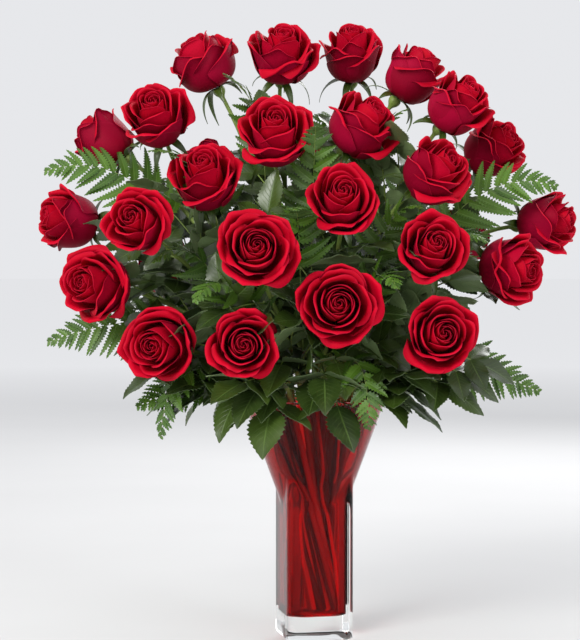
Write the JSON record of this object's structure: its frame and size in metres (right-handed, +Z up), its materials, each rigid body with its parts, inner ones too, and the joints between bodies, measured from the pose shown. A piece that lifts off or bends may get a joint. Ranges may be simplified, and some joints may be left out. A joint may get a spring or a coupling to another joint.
{
  "type": "roses in a vase",
  "caption": "Dome of long-stemmed red roses with fern and rose foliage, standing by their cut stems in a faceted ruby glass vase that flares to a round rim.",
  "frame": {"origin": "centre of the vase's flat foot, on the table", "axes": "+Z up along the vase's axis; the bouquet's front faces -Y; +X is to the right seen from the front"},
  "size_m": [0.5502, 0.3761, 0.626],
  "materials": {
    "ruby_glass": "polished",
    "clear_glass": "polished",
    "petal": "velvety",
    "stem": "satin",
    "leaf": "glossy",
    "fern": "satin"
  },
  "bodies": {
    "root": {"vase": "ruby_glass", "rose_bloom_01": "petal", "rose_bloom_02": "petal", "rose_bloom_03": "petal", "rose_bloom_04": "petal", "rose_bloom_05": "petal", "rose_bloom_06": "petal", "rose_bloom_07": "petal", "rose_bloom_08": "petal", "rose_bloom_09": "petal", "rose_bloom_10": "petal", "rose_bloom_11": "petal", "rose_bloom_12": "petal", "rose_bloom_13": "petal", "rose_bloom_14": "petal", "rose_bloom_15": "petal", "rose_bloom_16": "petal", "rose_bloom_17": "petal", "rose_bloom_18": "petal", "rose_bloom_19": "petal", "rose_bloom_20": "petal", "rose_bloom_21": "petal", "rose_bloom_22": "petal", "rose_bloom_23": "petal", "rose_bloom_24": "petal", "rose_stem_01": "stem", "rose_stem_02": "stem", "rose_stem_03": "stem", "rose_stem_04": "stem", "rose_stem_05": "stem", "rose_stem_06": "stem", "rose_stem_07": "stem", "rose_stem_08": "stem", "rose_stem_09": "stem", "rose_stem_10": "stem", "rose_stem_11": "stem", "rose_stem_12": "stem", "rose_stem_13": "stem", "rose_stem_14": "stem", "rose_stem_15": "stem", "rose_stem_16": "stem", "rose_stem_17": "stem", "rose_stem_18": "stem", "rose_stem_19": "stem", "rose_stem_20": "stem", "rose_stem_21": "stem", "rose_stem_22": "stem", "rose_stem_23": "stem", "rose_stem_24": "stem", "rear_rose_1": "petal", "rear_rose_2": "petal", "rear_rose_3": "petal", "rear_rose_4": "petal", "rear_rose_5": "petal", "rear_rose_6": "petal", "fern_frond_upper_left": "fern", "fern_frond_left": "fern", "fern_frond_low_left": "fern", "fern_frond_upper_right": "fern", "fern_frond_low_right": "fern"}
  },
  "joints": []
}
